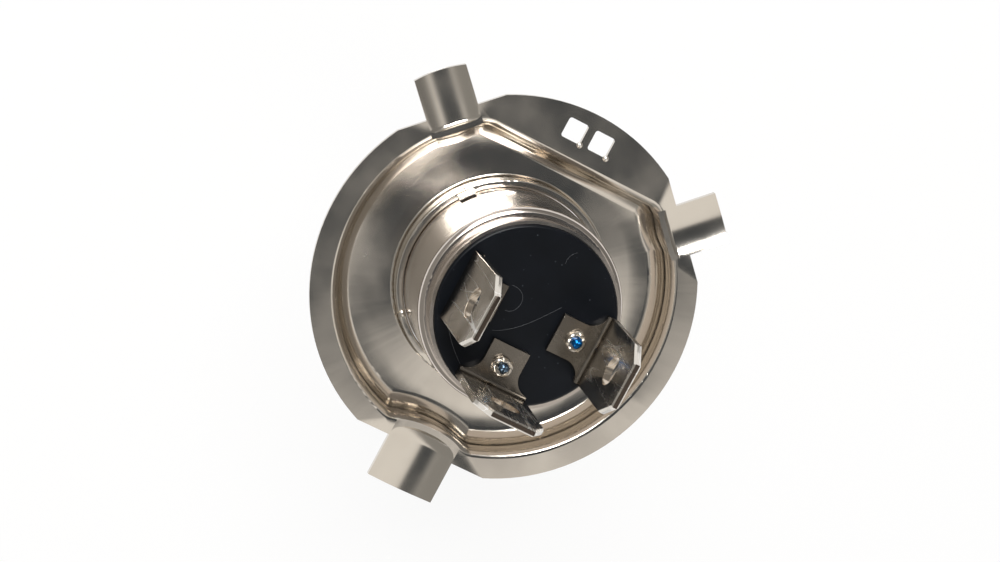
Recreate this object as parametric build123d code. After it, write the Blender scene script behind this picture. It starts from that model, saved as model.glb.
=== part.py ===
from build123d import *
from math import acos, cos, degrees, hypot, radians, sin
import os

# Halogen headlight bulb with two filaments and a three-lug prefocus base, in millimetres.
# The origin is the centre of the rim's front face, on the lamp axis.
# +Z runs along the axis to the terminals, -Z to the glass tip, +Y to the wide reference lug.

# Focus ring, stamped from sheet steel
sheet = 0.6
dish_radius = 19.0
rim_width = 2.5
dish_depth = 4.0
flat_half_angle = 33.7
bend = 0.25
floor_bend = 1.7
lug_reach = 3.8
reference_width = 7.85
reference_trough = 1.0
reference_trough_end = 2.0
reference_scallop = 1.6
reference_relief = 1.5
narrow_width = 5.8
narrow_trough = 0.65
narrow_trough_end = 0.5
narrow_scallop = 0.35
narrow_relief = 0.9
scallop_slack = 1.5
window_width = 2.4
window_height = 2.3
window_bar = 0.9
window_margin = 1.5
collar_wall = 0.8
collar_height = 2.4
collar_bend = 0.3
collar_draw = 0.8
collar_edge = 0.2
tab_width = 1.9
tab_height = 1.2
tab_angles = (320, 80, 200)
weld_radius = 0.42
weld_angles = (41, 221)

# Sleeve that carries the burner and the insulator
sleeve_radius = 11.05
sleeve_wall = 0.5
sleeve_front = -8.4
shoulder = 9.6
shoulder_round = 0.7
lip_width = 1.2
neck_wall = 0.35
neck_top = 12.0
slot_height = 0.7

# Insulator
disc_top = 12.3
disc_edge = 0.3
insulator_foot = 6.0

# Terminals, with each blade's inner face set in from the insulator's edge
blade_width = 7.9
blade_thickness = 0.8
blade_height = 14.0
blade_bend = 0.4
blade_heel = 0.5
main_beam_inset = 2.15
main_beam_lean = 0.45
dipped_beam_inset = 1.8
earth_inset = 1.65
tip_chamfer_width = 1.47
tip_chamfer_height = 2.65
tip_bevel = 0.2
blade_hole = 3.3
blade_hole_drop = 5.6
foot_inset = 6.4
foot_width = 4.3
foot_flare = 1.9

# Eyelets that rivet the terminals down and hold the leads
eyelet_inset = 4.05
eyelet_barrel = 1.6
eyelet_bore = 1.05
eyelet_head = 2.2
eyelet_rise = 0.6
eyelet_flare = 0.3

# Burner holder inside the sleeve
holder_wall = 0.4
holder_collar = 3.0

# Quartz burner
pinch_width = 12.6
pinch_thickness = 3.6
pinch_round = 0.9
pinch_rear = -1.5
pinch_front = -13.5
neck_front = -19.0
bulb_radius = 7.7
bulb_wall = 1.1
bulb_tip = -56.0
cavity_rear = -17.0
cavity_round = 4.0
pip_radius = 1.3
pip_length = 0.9
coating_start = -45.0
coating = 0.1

# Conductors in the burner
foil_width = 2.6
foil_thickness = 0.08
foil_rear = -4.2
foil_length = 7.4
foil_pitch = 4.0
foil_overlap = 2.0
lead_thickness = 0.9
lead_bend = 1.0
lead_start = 0.5
lead_join = 4.2
lead_proud = 0.25
support_thickness = 0.6
support_bend = 0.6
support_run = 2.0

# Filaments and dipper shield
coil_radius = 0.6
coil_wire = 0.2
coil_pitch = 0.5
dipped_height = 0.9
dipped_rear = -29.5
dipped_length = 5.5
main_height = -0.4
main_rear = -23.5
main_length = 4.5
spur = 0.9
shield_radius = 2.45
shield_wall = 0.25
shield_rear = -28.6
shield_length = 6.6
shield_drop = 0.4
shield_tilt_angle = 15
shield_weld_angle = 30

# Clearances between mating pieces
slide = 0.1
press = 0.05
seal = 0.03

# Values that follow from the sizes above
rim_radius = dish_radius + rim_width
rim_bend = bend + sheet
floor_rear = sheet - dish_depth
dish_flat = dish_radius * cos(radians(flat_half_angle))
corner = dish_radius / 8
collar_hole = sleeve_radius + press
collar_top = floor_rear + collar_height
tab_top = collar_top + tab_height
sleeve_inside = sleeve_radius - sleeve_wall
lip_radius = sleeve_radius - lip_width
lip_seat = shoulder - sleeve_wall
boss_radius = lip_radius - press
holder_radius = sleeve_inside - press
holder_floor = sleeve_front + sleeve_wall
foot_top = disc_top + blade_thickness
blade_tip = disc_top + blade_height
eyelet_distance = boss_radius - eyelet_inset
foil_front = foil_rear - foil_length
lead_offset = (foil_thickness + lead_thickness) / 2 + seal
support_offset = (foil_thickness + support_thickness) / 2 + seal
dome_centre = bulb_tip + bulb_radius
main_front = main_rear - main_length
dipped_front = dipped_rear - dipped_length

# Each lug: angle round the axis, width, trough depth, round of the trough's end,
# scallop depth and relief of the rim
narrow_lug = (narrow_width, narrow_trough, narrow_trough_end, narrow_scallop, narrow_relief)
lugs = [
    (90, reference_width, reference_trough, reference_trough_end, reference_scallop, reference_relief),
    (225, *narrow_lug),
    (315, *narrow_lug),
]

# Each circuit: angle of its terminal, blade's inner face at the foot, lean of the tip, and its foil's place
circuits = {
    "main_beam": (0, boss_radius - main_beam_inset, main_beam_lean, 0),
    "dipped_beam": (90, boss_radius - dipped_beam_inset, 0, foil_pitch),
    "earth": (180, boss_radius - earth_inset, 0, -foil_pitch),
}


def turned(*points):
    """Solid of revolution about the lamp axis from a half section of (radius, height) points."""
    return revolve(make_face(Plane.XZ * Polyline(*points, close=True)), Axis.Z)


def rounded(solid, radius, level, amount):
    """The solid with its circular edge of that radius at that level rounded."""
    circles = solid.edges().filter_by(GeomType.CIRCLE)
    edges = [e for e in circles if abs(e.radius - radius) < 0.01 and abs(e.arc_center.Z - level) < 0.01]
    return fillet(edges, amount)


def rod(points, thickness, turn):
    """Round wire along straight runs that are joined by bends."""
    path = FilletPolyline(*points, radius=turn)
    return sweep(Plane(origin=path @ 0, z_dir=path % 0) * Circle(thickness / 2), path=path)


def straight_rod(x, y, start, end, thickness):
    """Round bar along the lamp axis direction between two heights."""
    return extrude(Pos(x, y, start) * Circle(thickness / 2), end - start)


def dish_outline(inset):
    """Plan of the dish's wall: a circle with one flat, and a scallop inward at every lug."""
    outline = Circle(dish_radius - inset)
    outline &= Pos(0, rim_radius - dish_flat + inset) * Rectangle(2 * rim_radius, 2 * rim_radius)
    for angle, width, trough, trough_end, scallop, relief in lugs:
        scallop_radius = scallop_slack * width
        centre = dish_radius - scallop + scallop_radius
        outline -= Rot(0, 0, angle) * Pos(centre, 0) * Circle(scallop_radius + inset)
    return fillet(outline.vertices(), corner - inset)


def flat_edges(solid, level, reach):
    """Edges that lie at one level and stay within reach of the axis."""
    found = []
    for edge in solid.edges().filter_by_position(Axis.Z, level - 0.01, level + 0.01):
        spots = [edge @ 0, edge @ 0.5, edge @ 1]
        if max(hypot(spot.X, spot.Y) for spot in spots) < reach:
            found.append(edge)
    return found


def round_ended_bar(start, end, radius, turn):
    """Bar along the X axis whose starting edge is rounded."""
    edges = [
        Line((start, 0), (start, radius - turn)),
        CenterArc((start + turn, radius - turn), turn, 90, 90),
        Line((start + turn, radius), (end, radius)),
        Line((end, radius), (end, 0)),
        Line((end, 0), (start, 0)),
    ]
    return revolve(make_face(edges), Axis.X)


def ring_lug(angle, width, trough, trough_end, scallop):
    """A lug as a pair: the pressed sheet with its rounded inner end, and the trough that is cut in it."""
    radius = ((width / 2) ** 2 + trough**2) / (2 * trough)
    height = sheet + radius - trough
    start = dish_radius - scallop - sheet + rim_bend + slide
    end = rim_radius + 2 * lug_reach
    place = Rot(0, 0, angle) * Pos(0, 0, height)
    below = (Align.CENTER, Align.CENTER, Align.MAX)
    limit = Pos(0, 0, sheet - height) * Box(4 * rim_radius, width, 4 * (trough + sheet), align=below)
    pressed = place * (round_ended_bar(start - sheet, end, radius + sheet, trough_end + sheet) & limit)
    hollow = place * round_ended_bar(start, end, radius, trough_end)
    return pressed & Cylinder(rim_radius + lug_reach, 8 * dish_depth), hollow


def collar_tab():
    """Tab that stands up from the collar against the sleeve."""
    band = Circle(collar_hole + sheet) - Circle(collar_hole)
    strip = Pos(collar_hole, 0) * Rectangle(4 * sheet, tab_width)
    return extrude(Pos(0, 0, collar_top - sheet) * (band & strip), sheet + tab_height)


def focus_ring():
    """Rim with three lugs, a D-shaped dish drawn to the front, two windows and a collar for the sleeve."""
    outline = dish_outline(0)
    blank = Circle(rim_radius)
    for angle, width, trough, trough_end, scallop, relief in lugs:
        beyond = Pos(2 * rim_radius - relief, 0) * Rectangle(2 * rim_radius, 2 * rim_radius)
        blank -= Rot(0, 0, angle) * beyond
    ring = extrude(blank, sheet) + extrude(outline, -dish_depth)
    ring = fillet(flat_edges(ring, -dish_depth, dish_radius + bend), floor_bend + sheet)
    ring = fillet(flat_edges(ring, 0, dish_radius + bend / 2), bend)
    hollow = extrude(Pos(0, 0, floor_rear) * dish_outline(sheet), dish_depth + sheet)
    hollow = fillet(flat_edges(hollow, floor_rear, dish_radius), floor_bend)
    ring -= hollow
    ring = fillet(flat_edges(ring, sheet, dish_radius), rim_bend)
    collar_radius = collar_hole + collar_wall
    ring += Pos(0, 0, floor_rear) * extrude(Circle(collar_radius), collar_height)
    ring = rounded(ring, collar_radius, floor_rear, collar_bend)
    ring = rounded(ring, collar_radius, collar_top, collar_edge)
    ring -= Cylinder(collar_hole, 8 * dish_depth)
    ring = rounded(ring, collar_hole, collar_top, collar_edge)
    ring = rounded(ring, collar_hole, -dish_depth, collar_draw)
    for angle in tab_angles:
        ring += Rot(0, 0, angle) * collar_tab()
    for angle in weld_angles:
        ring += Rot(0, 0, angle) * Pos(collar_hole + weld_radius, 0, collar_top) * Sphere(weld_radius)
    window = fillet(Rectangle(window_width, window_height).vertices(), sheet / 2)
    window_line = rim_radius - window_margin - window_height / 2
    for side in (-1, 1):
        place = Pos(side * (window_width + window_bar) / 2, -window_line, -sheet)
        ring -= extrude(place * window, 3 * sheet)
    for angle, width, trough, trough_end, scallop, relief in lugs:
        pressed, hollow = ring_lug(angle, width, trough, trough_end, scallop)
        ring = ring + pressed - hollow
    return ring


def base_sleeve():
    """Steel can turned in at the front, with a shoulder, a neck for the insulator and slots at the tabs."""
    sleeve = turned(
        (sleeve_radius, sleeve_front),
        (sleeve_radius, shoulder),
        (lip_radius + neck_wall, shoulder),
        (lip_radius + neck_wall, neck_top),
        (lip_radius, neck_top),
        (lip_radius, lip_seat),
        (sleeve_inside, lip_seat),
        (sleeve_inside, holder_floor),
        (lip_radius, holder_floor),
        (lip_radius, sleeve_front),
    )
    sleeve = rounded(sleeve, sleeve_radius, shoulder, shoulder_round)
    sleeve = rounded(sleeve, sleeve_radius, sleeve_front, shoulder_round)
    slot_box = Box(2 * sleeve_wall + slide, tab_width, slot_height)
    slot = Pos(sleeve_radius, 0, tab_top + slot_height / 2) * slot_box
    for angle in tab_angles:
        sleeve -= Rot(0, 0, angle) * slot
    return sleeve


def insulator():
    """Moulded disc under the sleeve's lip, with one hole for each eyelet."""
    disc = turned(
        (0, insulator_foot),
        (sleeve_inside - slide, insulator_foot),
        (sleeve_inside - slide, lip_seat),
        (boss_radius, lip_seat),
        (boss_radius, disc_top),
        (0, disc_top),
    )
    disc = rounded(disc, boss_radius, disc_top, disc_edge)
    for angle, inner_face, lean, foil_x in circuits.values():
        bore = Cylinder(eyelet_barrel / 2 + press, 2 * disc_top)
        disc -= Rot(0, 0, angle) * Pos(eyelet_distance, 0, disc_top) * bore
    return disc


def terminal(angle, inner_face, lean):
    """Blade bent up from a foot that flares out to the blade's full width, its tip leaning in."""
    outer_face = inner_face + blade_thickness
    toe = boss_radius - foot_inset
    elbow = make_face(
        Plane.XZ
        * Polyline(
            (toe, disc_top),
            (outer_face, disc_top),
            (outer_face - lean, blade_tip),
            (inner_face - lean, blade_tip),
            (inner_face, foot_top),
            (toe, foot_top),
            close=True,
        )
    )
    strip = extrude(elbow, blade_width / 2, both=True)
    inner_edge = [e for e in strip.edges().filter_by(Axis.Y) if abs(e.center().X - inner_face) < 0.01]
    strip = fillet([e for e in inner_edge if abs(e.center().Z - foot_top) < 0.01], blade_bend)
    outer_edge = [e for e in strip.edges().filter_by(Axis.Y) if abs(e.center().X - outer_face) < 0.01]
    strip = fillet([e for e in outer_edge if abs(e.center().Z - disc_top) < 0.01], blade_heel)
    half = blade_width / 2
    corner_cut = Polyline(
        (half - tip_chamfer_width, blade_tip),
        (half, blade_tip - tip_chamfer_height),
        (blade_width, blade_tip - tip_chamfer_height),
        (blade_width, blade_tip + tip_chamfer_height),
        (half - tip_chamfer_width, blade_tip + tip_chamfer_height),
        close=True,
    )
    corner_prism = extrude(make_face(Plane.YZ * corner_cut), 4 * blade_width)
    flare_line = inner_face - blade_bend
    notch = Pos(flare_line - foot_inset, half) * Rectangle(2 * foot_inset, blade_width - foot_width)
    notch = fillet(notch.vertices().sort_by(Axis.X)[2:].sort_by(Axis.Y)[0], foot_flare)
    notch_prism = extrude(Pos(0, 0, disc_top - blade_thickness) * notch, 3 * blade_thickness)
    for prism in (corner_prism, notch_prism):
        strip = strip - prism - mirror(prism, Plane.XZ)
    high_edges = [e for e in strip.edges() if e.center().Z > blade_tip - tip_chamfer_height]
    tip_edges = [e for e in high_edges if abs((e % 0.5).X) < 0.5]
    strip = chamfer(tip_edges, tip_bevel)
    punch = Rot(0, 90, 0) * Cylinder(blade_hole / 2, 4 * blade_thickness)
    strip -= Pos(inner_face, 0, blade_tip - blade_hole_drop) * punch
    strip -= Pos(eyelet_distance, 0, foot_top) * Cylinder(eyelet_barrel / 2 + press, 4 * blade_thickness)
    return Rot(0, 0, angle) * strip


def eyelet(angle):
    """Hollow rivet from the terminal's foot through the insulator, flared at both ends."""
    bore = eyelet_bore / 2
    barrel = eyelet_barrel / 2
    rivet = turned(
        (bore, insulator_foot - eyelet_flare),
        (barrel + eyelet_flare, insulator_foot - eyelet_flare),
        (barrel + eyelet_flare, insulator_foot),
        (barrel, insulator_foot),
        (barrel, foot_top),
        (eyelet_head / 2, foot_top),
        (eyelet_head / 2, foot_top + eyelet_rise),
        (bore, foot_top + eyelet_rise),
    )
    rivet = rounded(rivet, eyelet_head / 2, foot_top + eyelet_rise, eyelet_flare)
    return Rot(0, 0, angle) * Pos(eyelet_distance, 0, 0) * rivet


def outer_lead(angle, foil_x):
    """Wire from a foil in the pinch up through its eyelet, with a rounded end."""
    top = foot_top + eyelet_rise + lead_proud
    eyelet_x = eyelet_distance * cos(radians(angle))
    eyelet_y = eyelet_distance * sin(radians(angle))
    points = [
        (foil_x, lead_offset, foil_rear - foil_overlap),
        (foil_x, lead_offset, lead_start),
        (eyelet_x, eyelet_y, lead_join),
        (eyelet_x, eyelet_y, top),
    ]
    lead = rod(points, lead_thickness, lead_bend)
    return fillet(lead.edges().group_by(Axis.Z)[-1], lead_proud)


def pinch_plan(growth):
    """Rounded outline of the pinch, grown all round."""
    return RectangleRounded(pinch_width + 2 * growth, pinch_thickness + 2 * growth, pinch_round + growth)


def burner_holder():
    """Cup under the insulator whose floor has a collar that grips the glass pinch."""
    cup = turned(
        (0, holder_floor),
        (holder_radius, holder_floor),
        (holder_radius, insulator_foot),
        (holder_radius - holder_wall, insulator_foot),
        (holder_radius - holder_wall, holder_floor + holder_wall),
        (0, holder_floor + holder_wall),
    )
    opening = pinch_plan(press)
    collar = pinch_plan(press + holder_wall)
    cup += extrude(Pos(0, 0, holder_floor) * collar, holder_collar)
    return cup - extrude(Pos(0, 0, holder_floor - holder_wall) * opening, 2 * holder_collar)


def sealed_channels():
    """Room in the glass for the three foils and the wires that are pressed in with them."""
    foil_room = Box(foil_width + 2 * seal, foil_thickness + 2 * seal, foil_length + 2 * seal)
    lead_end = foil_rear - foil_overlap - seal
    support_end = foil_front + foil_overlap + seal
    lead_room = lead_thickness + 2 * seal
    support_room = support_thickness + 2 * seal
    rooms = []
    for step in (-1, 0, 1):
        x = step * foil_pitch
        rooms.append(Pos(x, 0, foil_rear - foil_length / 2) * foil_room)
        rooms.append(straight_rod(x, lead_offset, lead_end, pinch_rear + pinch_round, lead_room))
        rooms.append(straight_rod(x, support_offset, support_end, cavity_rear - bulb_wall, support_room))
    return rooms


def glass_envelope():
    """Quartz tube with a domed front end, drawn down at the rear to a flat pressed pinch."""
    pinch = extrude(Pos(0, 0, pinch_rear) * pinch_plan(0), pinch_front - pinch_rear)
    neck = loft([Pos(0, 0, pinch_front) * pinch_plan(0), Pos(0, 0, neck_front) * Circle(bulb_radius)])
    tube = extrude(Pos(0, 0, neck_front) * Circle(bulb_radius), dome_centre - neck_front)
    glass = pinch + neck + tube + Pos(0, 0, dome_centre) * Sphere(bulb_radius)
    pip_depth = pip_length + bulb_wall / 2
    glass += Pos(0, 0, bulb_tip - pip_length + pip_depth / 2) * Cone(pip_radius / 2, pip_radius, pip_depth)
    cavity_radius = bulb_radius - bulb_wall
    cavity = extrude(Pos(0, 0, cavity_rear) * Circle(cavity_radius), dome_centre - cavity_rear)
    cavity = rounded(cavity, cavity_radius, cavity_rear, cavity_round)
    glass -= cavity + Pos(0, 0, dome_centre) * Sphere(cavity_radius)
    for room in sealed_channels():
        glass -= room
    return glass


def tip_coating():
    """Black skin over the front of the bulb, open round the sealed-off tip."""
    inside = bulb_radius + seal
    outside = inside + coating
    turn = degrees(acos((pip_radius + seal) / inside))
    inner_arc = CenterArc((0, dome_centre), inside, 0, -turn)
    outer_arc = CenterArc((0, dome_centre), outside, 0, -turn)
    edges = [
        inner_arc,
        Line(inner_arc @ 1, outer_arc @ 1),
        outer_arc,
        Line((outside, dome_centre), (outside, coating_start)),
        Line((outside, coating_start), (inside, coating_start)),
        Line((inside, coating_start), (inside, dome_centre)),
    ]
    return revolve(Plane.XZ * make_face(edges), Axis.Z)


def foil(foil_x):
    """Thin molybdenum strip that carries the current through the seal."""
    return Pos(foil_x, 0, foil_rear - foil_length / 2) * Box(foil_width, foil_thickness, foil_length)


def support(foil_x, *points):
    """Wire from a foil straight out of the pinch, and then through the points."""
    rear = (foil_x, support_offset, foil_front + foil_overlap)
    neck = (foil_x, support_offset, neck_front)
    return rod([rear, neck, *points], support_thickness, support_bend)


def main_beam_support():
    """Short support whose end stands in the rear of the main coil."""
    return support(
        0,
        (0, main_height, neck_front - support_run),
        (0, main_height, main_rear - spur),
    )


def dipped_beam_support():
    """Long support past the shield that turns back into the front of the dipped coil."""
    return support(
        foil_pitch,
        (foil_pitch, dipped_height, neck_front - support_run),
        (foil_pitch, dipped_height, dipped_front - support_run),
        (0, dipped_height, dipped_front - support_run),
        (0, dipped_height, dipped_front + spur),
    )


def earth_support():
    """Support that runs along the outside of the shield, where it is welded."""
    reach = shield_radius + support_thickness / 2 + seal
    weld_x = -reach * sin(radians(shield_weld_angle))
    weld_y = dipped_height - reach * cos(radians(shield_weld_angle))
    return support(
        -foil_pitch,
        (weld_x, weld_y, shield_rear + support_run),
        (weld_x, weld_y, shield_rear - shield_length),
    )


def filament_link():
    """Stepped wire that joins the front of the main coil to the rear of the dipped coil."""
    points = [
        (0, main_height, main_front + spur),
        (0, main_height, main_front - spur / 3),
        (0, dipped_height, dipped_rear + spur / 3),
        (0, dipped_height, dipped_rear - spur),
    ]
    return rod(points, support_thickness, support_thickness / 3)


def filament(height, rear, length):
    """Tungsten wire coiled about a line parallel to the lamp axis."""
    start = (0, height, rear - coil_wire / 2)
    helix = Helix(coil_pitch, length - coil_wire, coil_radius, center=start, direction=(0, 0, -1))
    section = Plane(origin=helix @ 0, z_dir=helix % 0) * RegularPolygon(coil_wire / 2, 6)
    return sweep(section, path=helix, is_frenet=True)


def dipper_shield():
    """Half-round cup below the dipped filament, closed at the front, with one edge tilted down."""
    inside = shield_radius - shield_wall
    front = shield_rear - shield_length
    cup = straight_rod(0, 0, shield_rear, front, 2 * shield_radius) + Pos(0, 0, front) * Sphere(shield_radius)
    cup -= straight_rod(0, 0, shield_rear + shield_wall, front, 2 * inside) + Pos(0, 0, front) * Sphere(inside)
    reach = 4 * shield_length
    above = Box(reach, reach, reach, align=(Align.CENTER, Align.MIN, Align.CENTER))
    beside = Box(reach, reach, reach, align=(Align.MAX, Align.MIN, Align.CENTER))
    edge = Pos(0, -shield_drop, front)
    return Pos(0, dipped_height, 0) * (cup - edge * above - edge * Rot(0, 0, shield_tilt_angle) * beside)


os.makedirs("parts", exist_ok=True)

pieces = {
    "focus_ring": focus_ring(),
    "base_sleeve": base_sleeve(),
    "insulator": insulator(),
    "burner_holder": burner_holder(),
    "glass_envelope": glass_envelope(),
    "tip_coating": tip_coating(),
    "dipped_filament": filament(dipped_height, dipped_rear, dipped_length),
    "main_filament": filament(main_height, main_rear, main_length),
    "dipper_shield": dipper_shield(),
}
for name, (angle, inner_face, lean, foil_x) in circuits.items():
    pieces[name + "_terminal"] = terminal(angle, inner_face, lean)
    pieces[name + "_eyelet"] = eyelet(angle)
    pieces[name + "_lead"] = outer_lead(angle, foil_x)
    pieces[name + "_foil"] = foil(foil_x)
pieces["main_beam_support"] = main_beam_support()
pieces["dipped_beam_support"] = dipped_beam_support()
pieces["earth_support"] = earth_support()
pieces["filament_link"] = filament_link()

for name, piece in pieces.items():
    export_step(piece, os.path.join("parts", name + ".step"))
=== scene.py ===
from math import radians
import bmesh
import bpy
import numpy as np
from mathutils import Matrix, Vector


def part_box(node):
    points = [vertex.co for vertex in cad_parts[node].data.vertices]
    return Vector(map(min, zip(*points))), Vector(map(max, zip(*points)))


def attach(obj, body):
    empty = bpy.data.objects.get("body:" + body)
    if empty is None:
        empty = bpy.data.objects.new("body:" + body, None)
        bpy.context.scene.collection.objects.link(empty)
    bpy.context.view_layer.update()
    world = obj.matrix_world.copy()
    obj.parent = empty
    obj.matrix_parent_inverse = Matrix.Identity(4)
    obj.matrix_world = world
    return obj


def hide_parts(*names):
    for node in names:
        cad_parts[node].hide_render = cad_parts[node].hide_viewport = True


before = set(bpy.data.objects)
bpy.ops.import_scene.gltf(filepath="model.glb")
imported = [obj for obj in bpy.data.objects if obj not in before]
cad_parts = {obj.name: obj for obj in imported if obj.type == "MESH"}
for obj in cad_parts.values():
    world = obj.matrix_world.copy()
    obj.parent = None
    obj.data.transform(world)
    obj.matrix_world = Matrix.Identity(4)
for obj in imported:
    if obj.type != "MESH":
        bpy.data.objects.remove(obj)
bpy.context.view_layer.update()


# Quartz burner envelope.
# A tube of clear fused quartz with a domed front, pressed flat at the rear round the foils while soft.
# The holder's collar grips the flat pinch.
mm = 0.001
merge_gap = 0.001 * mm
flat_angle = radians(0.5)
flow_width = 6 * mm
flow_depth = 0.2 * mm
quartz_index = 1.46


def linear(code):
    """An sRGB hex colour as linear red, green, blue and alpha."""
    parts = [int(code[i : i + 2], 16) / 255 for i in (1, 3, 5)]
    return [p / 12.92 if p <= 0.04045 else ((p + 0.055) / 1.055) ** 2.4 for p in parts] + [1.0]


def add(tree, kind, inputs=None, **settings):
    """A shader node with its settings, and each input set to a value or linked from a socket."""
    made = tree.nodes.new(kind)
    for key, value in settings.items():
        setattr(made, key, value)
    for key, value in (inputs or {}).items():
        if isinstance(value, bpy.types.NodeSocket):
            tree.links.new(value, made.inputs[key])
        else:
            made.inputs[key].default_value = value
    return made


def blank_material(name):
    """A new material: itself, its node tree, its surface shader and its object coordinates."""
    material = bpy.data.materials.new(name)
    material.use_nodes = True
    tree = material.node_tree
    place = add(tree, "ShaderNodeTexCoord").outputs["Object"]
    return material, tree, tree.nodes["Principled BSDF"], place


def dress(node, material, sharp=30, bevel=0.0):
    """Show a merged copy of a CAD node in its place, smooth up to the sharp angle, with softened edges."""
    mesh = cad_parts[node].data.copy()
    work = bmesh.new()
    work.from_mesh(mesh)
    bmesh.ops.remove_doubles(work, verts=work.verts, dist=merge_gap)
    if bevel:
        bmesh.ops.dissolve_limit(work, angle_limit=flat_angle, verts=work.verts, edges=work.edges)
    work.to_mesh(mesh)
    work.free()
    mesh.attributes.remove(mesh.attributes["custom_normal"])
    mesh.materials.clear()
    mesh.materials.append(material)
    mesh.shade_smooth()
    mesh.set_sharp_from_angle(angle=radians(sharp))
    piece = bpy.data.objects.new(node + "_finish", mesh)
    bpy.context.scene.collection.objects.link(piece)
    if bevel:
        edge = piece.modifiers.new("edge", "BEVEL")
        edge.width = bevel
        edge.segments = 2
        edge.limit_method = "ANGLE"
        edge.angle_limit = radians(sharp)
    weights = piece.modifiers.new("weights", "WEIGHTED_NORMAL")
    weights.mode = "FACE_AREA_WITH_ANGLE"
    weights.keep_sharp = True
    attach(piece, "root")
    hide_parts(node)
    return piece


quartz, tree, surface, place = blank_material("fused_quartz")
flow = add(tree, "ShaderNodeTexNoise", {"Vector": place, "Scale": 1 / flow_width, "Detail": 2.0})
ripple = add(tree, "ShaderNodeBump", {"Height": flow.outputs["Fac"], "Strength": 0.1, "Distance": flow_depth})
tree.links.new(ripple.outputs["Normal"], surface.inputs["Normal"])
haze = add(tree, "ShaderNodeMapRange", {"Value": flow.outputs["Fac"], "To Min": 0.0, "To Max": 0.04})
tree.links.new(haze.outputs["Result"], surface.inputs["Roughness"])
surface.inputs["Base Color"].default_value = linear("#fafcfc")
surface.inputs["Transmission Weight"].default_value = 1.0
surface.inputs["IOR"].default_value = quartz_index
dress("glass_envelope", quartz)


# Foils, supports, link and dipper shield.
# Rolled molybdenum strip and drawn molybdenum wire, satin grey with fine draw lines along the lamp axis.
# The foils are sealed in the pinch, the supports are welded to them, and the shield to its support.
wire_line = 0.1 * mm
wire_stretch = 0.05


def bare_metal(name, bright, dull, patch, rough):
    """Metal whose tone and polish drift between two values in patches of that width."""
    material, tree, surface, place = blank_material(name)
    drift = add(tree, "ShaderNodeTexNoise", {"Vector": place, "Scale": 1 / patch, "Detail": 4.0})
    shades = {"Factor": drift.outputs["Fac"], 6: linear(bright), 7: linear(dull)}
    tone = add(tree, "ShaderNodeMix", shades, data_type="RGBA")
    tree.links.new(tone.outputs[2], surface.inputs["Base Color"])
    spread = {"Value": drift.outputs["Fac"], "From Min": 0.3, "From Max": 0.7}
    polish = add(tree, "ShaderNodeMapRange", spread | {"To Min": 0.7 * rough, "To Max": 1.4 * rough})
    tree.links.new(polish.outputs["Result"], surface.inputs["Roughness"])
    surface.inputs["Metallic"].default_value = 1.0
    return material, tree, surface, place


def add_relief(tree, surface, height, depth, strength):
    """Raise and lower the surface by a pattern, as a bump of that depth."""
    bump = add(tree, "ShaderNodeBump", {"Height": height, "Strength": strength, "Distance": depth})
    tree.links.new(bump.outputs["Normal"], surface.inputs["Normal"])


molybdenum, tree, surface, place = bare_metal("drawn_molybdenum", "#aaa69f", "#85817b", 0.8 * mm, 0.3)
along = add(tree, "ShaderNodeMapping", {"Vector": place, "Scale": (1.0, 1.0, wire_stretch)})
drawn = {"Vector": along.outputs["Vector"], "Scale": 1 / wire_line, "Detail": 2.0}
draw = add(tree, "ShaderNodeTexNoise", drawn)
add_relief(tree, surface, draw.outputs["Fac"], depth=0.02 * mm, strength=0.4)
for node in ("main_beam_foil", "dipped_beam_foil", "earth_foil", "filament_link", "dipper_shield"):
    dress(node, molybdenum)
for node in ("main_beam_support", "dipped_beam_support", "earth_support"):
    dress(node, molybdenum, sharp=40)


# Filaments.
# Tungsten wire wound in a close coil, dark grey with a slightly mossy surface from its first heating.
# Each coil is pushed over the ends of its supports.
moss_width = 0.06 * mm
tungsten, tree, surface, place = bare_metal("coiled_tungsten", "#8a8680", "#5f5b57", 0.4 * mm, 0.35)
moss = add(tree, "ShaderNodeTexNoise", {"Vector": place, "Scale": 1 / moss_width, "Detail": 2.0})
add_relief(tree, surface, moss.outputs["Fac"], depth=0.01 * mm, strength=0.5)
for node in ("main_filament", "dipped_filament"):
    dress(node, tungsten, sharp=75)


# Black tip.
# Heat-proof ceramic paint, dipped on and fired: matt black, with a fine grain and thinner patches.
# It covers the dome so that no light leaves straight ahead.
paint_grain = 0.5 * mm
tip_black, tree, surface, place = blank_material("fired_black_paint")
grain = add(tree, "ShaderNodeTexNoise", {"Vector": place, "Scale": 1 / paint_grain, "Detail": 5.0})
shades = {"Factor": grain.outputs["Fac"], 6: linear("#0e0e0f"), 7: linear("#232221")}
tone = add(tree, "ShaderNodeMix", shades, data_type="RGBA")
tree.links.new(tone.outputs[2], surface.inputs["Base Color"])
add_relief(tree, surface, grain.outputs["Fac"], depth=0.03 * mm, strength=0.4)
surface.inputs["Roughness"].default_value = 0.55
dress("tip_coating", tip_black)


# Burner holder.
# A drawn steel cup inside the sleeve, left with the satin of the press.
# Its collar grips the glass, and it is pushed into the sleeve under the insulator.
press_grain = 0.3 * mm
holder_steel, tree, surface, place = bare_metal("pressed_steel", "#c9c4bb", "#aaa49b", 4 * mm, 0.28)
grain = add(tree, "ShaderNodeTexNoise", {"Vector": place, "Scale": 1 / press_grain, "Detail": 3.0})
add_relief(tree, surface, grain.outputs["Fac"], depth=0.02 * mm, strength=0.3)
dress("burner_holder", holder_steel)


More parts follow.
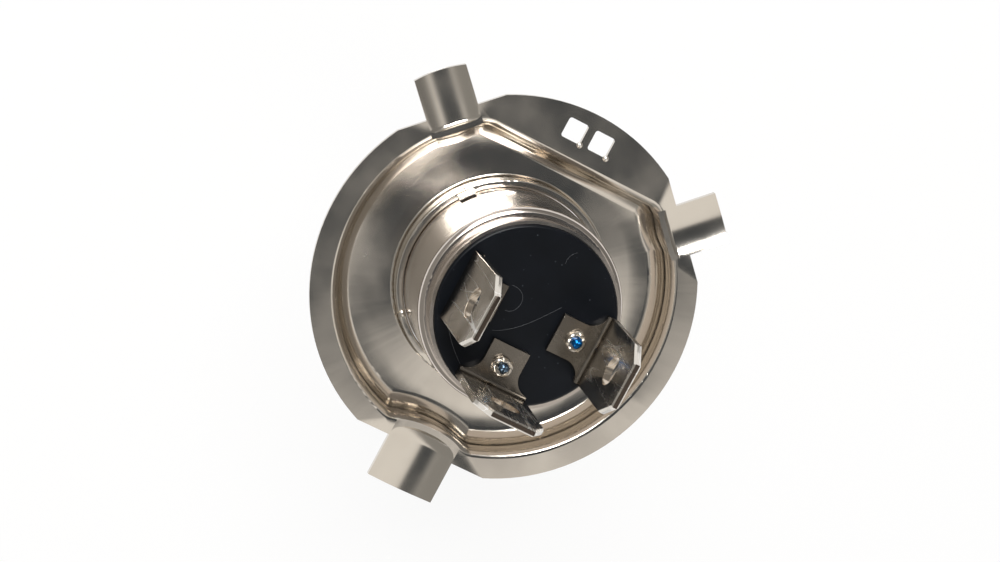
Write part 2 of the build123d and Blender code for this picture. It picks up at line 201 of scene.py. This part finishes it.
# Base sleeve.
# A deep-drawn steel can, bright nickel plated: a slightly pink silver with faint draw lines along the axis.
# It is spot welded in the focus ring's collar and rolled in over the insulator.
can_line = 0.7 * mm
can_stretch = 0.06
sleeve_nickel, tree, surface, place = bare_metal("nickel_on_drawn_can", "#d8d0c8", "#cbc1b8", 5 * mm, 0.14)
along = add(tree, "ShaderNodeMapping", {"Vector": place, "Scale": (1.0, 1.0, can_stretch)})
drawn = {"Vector": along.outputs["Vector"], "Scale": 1 / can_line, "Detail": 3.0}
draw = add(tree, "ShaderNodeTexNoise", drawn)
add_relief(tree, surface, draw.outputs["Fac"], depth=0.01 * mm, strength=0.15)
dress("base_sleeve", sleeve_nickel, sharp=28)


# Focus ring.
# Stamped sheet steel, bright nickel plated: warm silver, with soft radial streaks where the dish was drawn.
# Its floor falls slightly from the collar, then curves up to the wall. Two smears of dry film dull it.
floor_fall = 0.045
floor_edge = 18.5 * mm
curve_start = 14.5 * mm
curve_radius = 24 * mm
wall_foot = -1.6 * mm
wall_top = -0.4 * mm
smears = (Vector((13.7, -6.9, -3.4)) * mm, Vector((15.4, 3.6, -3.4)) * mm)
smear_reach = 5 * mm
smear_end = 1.6 * smear_reach
smear_core = 0.2 * smear_reach
smear_dulling = 0.12
film_width = 4 * mm
streak_depth = 0.008 * mm
ring_nickel, tree, surface, place = bare_metal("nickel_on_stamped_sheet", "#ddd7ce", "#d0c9bf", 7 * mm, 0.15)
level = add(tree, "ShaderNodeVectorMath", {0: place, 1: (1.0, 1.0, 0.0)}, operation="MULTIPLY")
spoke = add(tree, "ShaderNodeVectorMath", {0: level.outputs["Vector"]}, operation="NORMALIZE")
streak = add(tree, "ShaderNodeTexNoise", {"Vector": spoke.outputs["Vector"], "Scale": 5.0, "Detail": 3.0})
radius = add(tree, "ShaderNodeVectorMath", {0: level.outputs["Vector"]}, operation="LENGTH").outputs["Value"]
inward = add(tree, "ShaderNodeMath", {0: floor_edge, 1: radius}, operation="SUBTRACT")
height = add(tree, "ShaderNodeSeparateXYZ", {"Vector": place}).outputs["Z"]
low = {"Value": height, "From Min": wall_foot, "From Max": wall_top, "To Min": floor_fall, "To Max": 0.0}
slope = add(tree, "ShaderNodeMapRange", low, interpolation_type="SMOOTHSTEP")
outward = add(tree, "ShaderNodeMath", {0: radius, 1: curve_start}, operation="SUBTRACT").outputs["Value"]
curved = add(tree, "ShaderNodeMath", {0: outward, 1: 0.0}, operation="MAXIMUM").outputs["Value"]
square = add(tree, "ShaderNodeMath", {0: curved, 1: curved}, operation="MULTIPLY")
bowl = {0: square.outputs["Value"], 1: 1 / (2 * curve_radius * floor_fall), 2: inward.outputs["Value"]}
profile = add(tree, "ShaderNodeMath", bowl, operation="MULTIPLY_ADD")
sloped = {0: profile.outputs["Value"], 1: slope.outputs["Result"]}
fall = add(tree, "ShaderNodeMath", sloped, operation="MULTIPLY")
pressed = {0: streak.outputs["Fac"], 1: streak_depth, 2: fall.outputs["Value"]}
relief = add(tree, "ShaderNodeMath", pressed, operation="MULTIPLY_ADD")
add_relief(tree, surface, relief.outputs["Value"], depth=1.0, strength=1.0)
film = add(tree, "ShaderNodeTexNoise", {"Vector": place, "Scale": 1 / film_width, "Detail": 3.0})
dull = surface.inputs["Roughness"].links[0].from_socket
for spot in smears:
    away = add(tree, "ShaderNodeVectorMath", {0: place, 1: spot}, operation="DISTANCE")
    ragged = {0: film.outputs["Fac"], 1: smear_reach, 2: away.outputs["Value"]}
    reach = add(tree, "ShaderNodeMath", ragged, operation="MULTIPLY_ADD").outputs["Value"]
    fog = {"Value": reach, "From Min": smear_end, "From Max": smear_core, "To Max": smear_dulling}
    smear = add(tree, "ShaderNodeMapRange", fog, interpolation_type="SMOOTHSTEP").outputs["Result"]
    dull = add(tree, "ShaderNodeMath", {0: dull, 1: smear}, operation="ADD").outputs["Value"]
tree.links.new(dull, surface.inputs["Roughness"])
dress("focus_ring", ring_nickel, sharp=28)


# Punch burrs.
# Small beads of torn steel, nickel plated with the ring, that catch the light at one corner of each window.
# Their nickel is painted whiter than the ring's, as a painted highlight.
# The punch left them as it broke through, so they are part of the sheet.
burr_radius = 0.34 * mm
rim_face = 0.6 * mm
window_edge = -17.7 * mm
window_corners = (0.45 * mm, -2.85 * mm)
ball_ripple = 0.06
pole_cut = 0.45 * np.pi
crease_angle = radians(60)


def skin(name, rings, loop, material):
    """A closed skin through rings of points, which loops on itself or ends in a flat face at both ends."""
    count, around = rings.shape[:2]
    row = np.arange(count if loop else count - 1)[:, None]
    column = np.arange(around)[None, :]
    ahead = (row + 1) % count
    beside = (column + 1) % around
    near = row * around
    far = ahead * around
    corners = [near + column, near + beside, far + beside, far + column]
    faces = np.stack(corners, axis=-1).reshape(-1, 4).tolist()
    if not loop:
        faces += [list(range(around))[::-1], list(range((count - 1) * around, count * around))]
    mesh = bpy.data.meshes.new(name)
    mesh.from_pydata(rings.reshape(-1, 3), [], faces)
    mesh.materials.append(material)
    mesh.shade_smooth()
    mesh.set_sharp_from_angle(angle=crease_angle)
    piece = bpy.data.objects.new(name, mesh)
    bpy.context.scene.collection.objects.link(piece)
    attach(piece, "root")
    return piece


def ball(centre, across, tall):
    """A ball squashed to its height, cut flat at both poles, whose radius ripples slowly round its axis."""
    turn = np.linspace(0, 2 * np.pi, 32, endpoint=False)[None, :]
    climb = np.linspace(-pole_cut, pole_cut, 14)[:, None]
    reach = across * np.cos(climb) * (1 + ball_ripple * np.cos(3 * turn + 4 * climb))
    level = tall * np.sin(climb) + 0 * turn
    return np.stack([reach * np.cos(turn), reach * np.sin(turn), level], axis=-1) + np.array(centre)


# Painted highlight: the burrs' nickel is painted near white, whiter than the ring's, so they shine as glints.
burr_painted_highlight = bare_metal("nickel_on_burr_painted_highlight", "#fbf8f2", "#e9e3d9", 0.3 * mm, 0.35)[0]
for number, corner in enumerate(window_corners, 1):
    rings = ball((corner, window_edge, rim_face), burr_radius, 0.8 * burr_radius)
    piece = skin("burr_" + str(number), rings, False, burr_painted_highlight)


# Insulator.
# A disc of black phenolic, moulded matt, with grey dust specks that cling to it.
# The sleeve's neck is rolled round it, and the eyelets go through it.
cloud_width = 4 * mm
speck_spacing = 0.9 * mm
speck_core = 0.05
speck_edge = 0.1
speck_cover = 0.35
phenolic, tree, surface, place = blank_material("black_phenolic")
cloud = add(tree, "ShaderNodeTexNoise", {"Vector": place, "Scale": 1 / cloud_width, "Detail": 5.0})
shades = {"Factor": cloud.outputs["Fac"], 6: linear("#030508"), 7: linear("#0f131a")}
tone = add(tree, "ShaderNodeMix", shades, data_type="RGBA")
specks = add(tree, "ShaderNodeTexVoronoi", {"Vector": place, "Scale": 1 / speck_spacing})
near = {"Value": specks.outputs["Distance"], "From Min": speck_core, "From Max": speck_edge}
dot = add(tree, "ShaderNodeMapRange", near | {"To Min": speck_cover, "To Max": 0.0})
uneven = {0: dot.outputs["Result"], 1: specks.outputs["Color"]}
sparse = add(tree, "ShaderNodeMath", uneven, operation="MULTIPLY")
dusty = {"Factor": sparse.outputs["Value"], 6: tone.outputs[2], 7: linear("#7c838c")}
finish = add(tree, "ShaderNodeMix", dusty, data_type="RGBA")
tree.links.new(finish.outputs[2], surface.inputs["Base Color"])
surface.inputs["Roughness"].default_value = 0.3
surface.inputs["Specular IOR Level"].default_value = 0.2
dress("insulator", phenolic)


# Terminals.
# Three blades bent up from tin-plated steel strip: grey and scratched, tan in the punched hole and dark at
# the sheared end. Each foot is painted darker than its blade, as painted shade below the bend, and its
# eyelet rivets it to the insulator.
hole_radius = 1.65 * mm
hole_level = 20.7 * mm
hole_stain = 0.3
blade_foot = 14.0 * mm
blade_bend = 1.0 * mm
blade_edge = 0.06 * mm
tip_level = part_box("earth_terminal")[1].z
shear_start = tip_level - 0.05 * mm
shear_full = tip_level - 0.02 * mm
scratch_leans = (0.05, -0.08)
scratch_stretch = 60.0
scratch_spacing = 2.2 * mm
scratch_share = 0.006
scratch_dulling = 0.08
tinned, tree, surface, place = bare_metal("tinned_strip", "#e3ddd4", "#d6d0c6", 3 * mm, 0.21)
tone = surface.inputs["Base Color"].links[0].from_socket
apart = add(tree, "ShaderNodeVectorMath", {0: place}, operation="ABSOLUTE")
sides = add(tree, "ShaderNodeSeparateXYZ", {"Vector": apart.outputs["Vector"]})
standing = {"Value": sides.outputs["Z"], "From Min": blade_foot, "From Max": blade_foot + blade_bend}
blade = add(tree, "ShaderNodeMapRange", standing)
# Painted shade: each foot, below the bend, is painted a darker grey than its blade.
painted_foot_shade = {"Factor": blade.outputs["Result"], 6: linear("#8b847b"), 7: tone}
tone = add(tree, "ShaderNodeMix", painted_foot_shade, data_type="RGBA").outputs[2]
# The real hairlines are too fine to show, so they are drawn about a twentieth of a millimetre wide.
dull = surface.inputs["Roughness"].links[0].from_socket
for lean in scratch_leans:
    stretch = {"Vector": place, "Rotation": (lean, lean, 0.3), "Scale": (1.0, 1.0, scratch_stretch)}
    turned = add(tree, "ShaderNodeMapping", stretch, vector_type="TEXTURE")
    wander = {"Vector": turned.outputs["Vector"], "Scale": 1 / scratch_spacing, "Detail": 0.0}
    scratch = add(tree, "ShaderNodeTexNoise", wander)
    middle = {0: scratch.outputs["Fac"], 1: 0.5, 2: scratch_share}
    line = add(tree, "ShaderNodeMath", middle, operation="COMPARE")
    upright = {0: line.outputs["Value"], 1: blade.outputs["Result"]}
    rubbed = add(tree, "ShaderNodeMath", upright, operation="MULTIPLY").outputs["Value"]
    scored = {"Factor": rubbed, 6: tone, 7: linear("#f6f3ee")}
    tone = add(tree, "ShaderNodeMix", scored, data_type="RGBA").outputs[2]
    scuffed = {0: rubbed, 1: scratch_dulling, 2: dull}
    dull = add(tree, "ShaderNodeMath", scuffed, operation="MULTIPLY_ADD").outputs["Value"]
tree.links.new(dull, surface.inputs["Roughness"])
across = add(tree, "ShaderNodeMath", {0: sides.outputs["X"], 1: sides.outputs["Y"]}, operation="MINIMUM")
above = add(tree, "ShaderNodeMath", {0: sides.outputs["Z"], 1: hole_level}, operation="SUBTRACT")
from_hole = add(tree, "ShaderNodeCombineXYZ", {"X": across.outputs["Value"], "Y": above.outputs["Value"]})
ring = add(tree, "ShaderNodeVectorMath", {0: from_hole.outputs["Vector"]}, operation="LENGTH")
wall = {"Value": ring.outputs["Value"], "From Min": 1.02 * hole_radius, "From Max": 1.08 * hole_radius}
punched = add(tree, "ShaderNodeMapRange", wall | {"To Min": hole_stain, "To Max": 0.0})
tan = {"Factor": punched.outputs["Result"], 6: tone, 7: linear("#b08a52")}
finish = add(tree, "ShaderNodeMix", tan, data_type="RGBA")
top = {"Value": sides.outputs["Z"], "From Min": shear_start, "From Max": shear_full}
sheared = add(tree, "ShaderNodeMapRange", top)
torn = {"Factor": sheared.outputs["Result"], 6: finish.outputs[2], 7: linear("#5c524a")}
finish = add(tree, "ShaderNodeMix", torn, data_type="RGBA")
tree.links.new(finish.outputs[2], surface.inputs["Base Color"])
for circuit in ("main_beam", "dipped_beam", "earth"):
    dress(circuit + "_terminal", tinned, bevel=blade_edge)


# Eyelets.
# Hollow steel rivets, tin plated, whose rims split and curl into uneven crowns when they are set.
# They clamp the terminals and are welded to the leads.
crown_radius = 0.8 * mm
crown_roll = 0.3 * mm
crown_petals = 5
crown_lean = radians(296)
crown_wander = 0.1 * mm
crown_wave = 0.12 * mm
crown_sink = 0.2 * mm
dent_width = 0.4 * mm
dent_depth = 0.1 * mm


def crown(node, phase):
    """Curled rim: a ring of round section, thicker at each petal and where the tool pressed less."""
    low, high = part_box(node)
    turn = np.linspace(0, 2 * np.pi, 96, endpoint=False)[:, None]
    round_section = np.linspace(0, 2 * np.pi, 16, endpoint=False)[None, :]
    petal = np.cos(crown_petals * turn + 1.5 * np.sin(2 * turn + phase))
    roll = crown_roll * (0.8 + 0.2 * petal + 0.4 * np.cos(turn - crown_lean))
    reach = crown_radius + crown_wander * np.cos(3 * turn + phase) + roll * np.cos(round_section)
    rise = crown_wave * np.cos(2 * turn + phase) - roll * np.sin(round_section)
    across = (low.x + high.x) / 2 + reach * np.cos(turn)
    back = (low.y + high.y) / 2 + reach * np.sin(turn)
    return np.stack([across, back, high.z - crown_sink + rise], axis=-1)


eyelet_tin, tree, surface, place = bare_metal("tinned_eyelet", "#d9d3ca", "#a79f94", 0.6 * mm, 0.16)
dent = add(tree, "ShaderNodeTexNoise", {"Vector": place, "Scale": 1 / dent_width, "Detail": 2.0})
add_relief(tree, surface, dent.outputs["Fac"], depth=dent_depth, strength=0.6)
for circuit, phase in {"main_beam": 0.4, "dipped_beam": 2.1, "earth": 4.0}.items():
    dress(circuit + "_eyelet", eyelet_tin)
    piece = skin(circuit + "_crown", crown(circuit + "_eyelet", phase), True, eyelet_tin)


# Leads.
# Nickel wire from the foils up through the eyelets, melted to a bead at the end. The heat of welding tints
# the last millimetres: vivid blue on the earth lead, slate blue on the others.
bead_radius = 0.58 * mm
bead_height = 0.45 * mm
tint_start = 11.0 * mm
tint_full = 13.5 * mm
lead_tints = {"main_beam": "#56687a", "dipped_beam": "#56687a", "earth": "#165e9f"}
for circuit, tint in lead_tints.items():
    wire, tree, surface, place = bare_metal(circuit + "_tinted_wire", "#c3bdb4", "#9a948b", 0.5 * mm, 0.2)
    bright = surface.inputs["Base Color"].links[0].from_socket
    height = add(tree, "ShaderNodeSeparateXYZ", {"Vector": place}).outputs["Z"]
    heat = add(tree, "ShaderNodeMapRange", {"Value": height, "From Min": tint_start, "From Max": tint_full})
    tinted = {"Factor": heat.outputs["Result"], 6: bright, 7: linear(tint)}
    colour = add(tree, "ShaderNodeMix", tinted, data_type="RGBA")
    tree.links.new(colour.outputs[2], surface.inputs["Base Color"])
    dress(circuit + "_lead", wire)
    low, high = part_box(circuit + "_eyelet")
    top = ((low.x + high.x) / 2, (low.y + high.y) / 2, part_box(circuit + "_lead")[1].z)
    piece = skin(circuit + "_bead", ball(top, bead_radius, bead_height), False, wire)


# Lint.
# Loose textile fibres that cling to the insulator and to a blade, pale and slightly translucent.
# They are only caught there by static, so each one is a fine tube along a loose curve.
fibre_radius = 0.016 * mm
fluff_width = 0.3 * mm


def fibre(points):
    """Fine round tube along a cubic Bezier curve through four control points in millimetres."""
    t = np.linspace(0, 1, 60)[:, None]
    blend = np.concatenate([(1 - t) ** 3, 3 * t * (1 - t) ** 2, 3 * t**2 * (1 - t), t**3], axis=1)
    path = blend @ np.array(points) * mm
    tangent = np.gradient(path, axis=0)
    side = np.cross(tangent, (0.0, 0.0, 1.0))
    side /= np.linalg.norm(side, axis=1, keepdims=True)
    upward = np.cross(side, tangent)
    upward /= np.linalg.norm(upward, axis=1, keepdims=True)
    turn = np.linspace(0, 2 * np.pi, 8, endpoint=False)[None, :, None]
    return path[:, None] + fibre_radius * (np.cos(turn) * side[:, None] - np.sin(turn) * upward[:, None])


lint, tree, surface, place = blank_material("cotton_lint")
fluff = add(tree, "ShaderNodeTexNoise", {"Vector": place, "Scale": 1 / fluff_width, "Detail": 2.0})
shades = {"Factor": fluff.outputs["Fac"], 6: linear("#3d4045"), 7: linear("#6b6e72")}
tone = add(tree, "ShaderNodeMix", shades, data_type="RGBA")
tree.links.new(tone.outputs[2], surface.inputs["Base Color"])
surface.inputs["Roughness"].default_value = 0.7
fibres = (
    [(3.0, -2.3, 12.32), (0.6, -2.6, 12.5), (0.9, 0.4, 12.4), (2.4, 0.4, 12.32)],
    [(2.6, 2.9, 12.32), (0.6, 2.0, 12.5), (-0.6, 0.6, 12.4), (-2.9, -2.5, 12.32)],
    [(-1.0, -6.8, 12.32), (-0.8, -7.4, 12.4), (-1.1, -8.1, 12.4), (-1.6, -8.4, 12.32)],
    [(8.6, 1.5, 19.0), (9.6, 3.0, 17.0), (6.0, 6.0, 13.0), (3.9, 7.6, 12.32)],
)
for number, points in enumerate(fibres, 1):
    skin("lint_" + str(number), fibre(points), False, lint)


# Floor.
# A plain pale sheet of paper under the bulb.
# It glows a little where it is seen or mirrored, so it shows only a faint shadow.
floor_level = -57.0 * mm
floor_reach = 2.0
floor_glow = 0.9
corners = floor_reach * np.array([(-1, -1, 0), (1, -1, 0), (1, 1, 0), (-1, 1, 0)])
floor_mesh = bpy.data.meshes.new("floor")
floor_mesh.from_pydata(corners + (0, 0, floor_level), [], [(0, 1, 2, 3)])
floor = bpy.data.objects.new("floor", floor_mesh)
bpy.context.scene.collection.objects.link(floor)
paper, tree, surface = blank_material("white_paper")[:3]
surface.inputs["Base Color"].default_value = linear("#fbfaf8")
surface.inputs["Roughness"].default_value = 0.9
surface.inputs["Specular IOR Level"].default_value = 0.0
glow = add(tree, "ShaderNodeEmission", {"Color": linear("#ffffff"), "Strength": 1.0})
rays = add(tree, "ShaderNodeLightPath").outputs
seen = rays["Is Camera Ray"]
for ray in ("Is Glossy Ray", "Is Transmission Ray"):
    seen = add(tree, "ShaderNodeMath", {0: seen, 1: rays[ray]}, operation="MAXIMUM").outputs["Value"]
share = add(tree, "ShaderNodeMath", {0: seen, 1: floor_glow}, operation="MULTIPLY").outputs["Value"]
lit = {0: share, 1: surface.outputs["BSDF"], 2: glow.outputs["Emission"]}
blend = add(tree, "ShaderNodeMixShader", lit)
tree.links.new(blend.outputs["Shader"], tree.nodes["Material Output"].inputs["Surface"])
floor_mesh.materials.append(paper)


# Studio light.
# White all round and grey on two sides, with a soft-edged dark panel overhead that the flat metal mirrors.
# One edge of the panel is straight. A large soft box and a bright strip above it light the bulb.
white_walls = "#f8f4ee"
grey_walls = (((0.75, 0.66, 0.0), 0.1, 0.4, "#989692"), ((-0.56, -0.83, 0.0), 0.3, 0.6, "#83817e"))
dark_panel = "#46494c"
panel_centre = (-0.05, -0.07, 1.0)
panel_full = 0.29
panel_end = 0.45
straight_side = (-0.61, 0.79, 0.0)
straight_full = 0.265
straight_end = 0.325
straight_run = (0.79, 0.61, 0.0)
run_half = 0.06
world = bpy.data.worlds.new("studio")
bpy.context.scene.world = world
world.use_nodes = True
tree = world.node_tree
way = add(tree, "ShaderNodeTexCoord").outputs["Generated"]
away = add(tree, "ShaderNodeVectorMath", {0: way, 1: panel_centre}, operation="DISTANCE")
edge = {"Value": away.outputs["Value"], "From Min": panel_full, "From Max": panel_end}
fade = add(tree, "ShaderNodeMapRange", edge, interpolation_type="SMOOTHSTEP").outputs["Result"]
across = add(tree, "ShaderNodeVectorMath", {0: way, 1: straight_side}, operation="DOT_PRODUCT")
edge = {"Value": across.outputs["Value"], "From Min": straight_full, "From Max": straight_end}
cut = add(tree, "ShaderNodeMapRange", edge, interpolation_type="SMOOTHSTEP").outputs["Result"]
beside = add(tree, "ShaderNodeVectorMath", {0: way, 1: straight_run}, operation="DOT_PRODUCT")
edge = {"Value": beside.outputs["Value"], "From Min": run_half, "From Max": -run_half, "To Max": cut}
cut = add(tree, "ShaderNodeMapRange", edge, interpolation_type="SMOOTHSTEP").outputs["Result"]
fade = add(tree, "ShaderNodeMath", {0: fade, 1: cut}, operation="MAXIMUM").outputs["Value"]
walls = linear(white_walls)
for side, start, full, grey in grey_walls:
    toward = add(tree, "ShaderNodeVectorMath", {0: way, 1: side}, operation="DOT_PRODUCT")
    edge = {"Value": toward.outputs["Value"], "From Min": start, "From Max": full}
    turned = add(tree, "ShaderNodeMapRange", edge, interpolation_type="SMOOTHSTEP")
    shades = {"Factor": turned.outputs["Result"], 6: walls, 7: linear(grey)}
    walls = add(tree, "ShaderNodeMix", shades, data_type="RGBA").outputs[2]
shades = {"Factor": fade, 6: linear(dark_panel), 7: walls}
sky = add(tree, "ShaderNodeMix", shades, data_type="RGBA")
rays = add(tree, "ShaderNodeLightPath").outputs
seen = {0: rays["Is Camera Ray"], 1: rays["Is Transmission Ray"]}
direct = add(tree, "ShaderNodeMath", seen, operation="MAXIMUM")
shades = {"Factor": direct.outputs["Value"], 6: sky.outputs[2], 7: linear("#ffffff")}
backdrop = add(tree, "ShaderNodeMix", shades, data_type="RGBA")
tree.links.new(backdrop.outputs[2], tree.nodes["Background"].inputs["Color"])


def soft_box(name, way, distance, width, height, radiance):
    """A rectangular light at that distance in one direction, turned to face the origin."""
    data = bpy.data.lights.new(name, "AREA")
    data.shape = "RECTANGLE"
    data.size = width
    data.size_y = height
    data.energy = radiance * np.pi * width * height
    light = bpy.data.objects.new(name, data)
    light.location = distance * Vector(way).normalized()
    light.rotation_euler = light.location.to_track_quat("Z", "Y").to_euler()
    bpy.context.scene.collection.objects.link(light)


soft_box("large_box", (0.419, -0.536, 0.731), distance=0.7, width=0.38, height=0.56, radiance=5.5)
soft_box("strip_box", (0.22, -0.312, 0.925), distance=0.68, width=0.25, height=0.07, radiance=18.0)


# Camera.
# It looks down on the terminals, 17 degrees off the lamp axis, at the photograph's angle and distance.
camera_turn = (0.23929, 0.18146, 2.64313)
axis_in_view = Vector((0.5565, -0.8466, -283.71)) * mm
turn = Matrix.Identity(3)
for angle, axis in zip(camera_turn, "XYZ"):
    turn = Matrix.Rotation(-angle, 3, axis) @ turn
lens = bpy.data.cameras.new("camera")
lens.sensor_width = 36
lens.lens = 93.6
lens.clip_start = 0.01
camera = bpy.data.objects.new("camera", lens)
camera.matrix_world = Matrix.Translation(-(turn @ axis_in_view)) @ turn.to_4x4()
bpy.context.scene.collection.objects.link(camera)
bpy.context.scene.camera = camera

bpy.context.scene.view_settings.view_transform = "Standard"
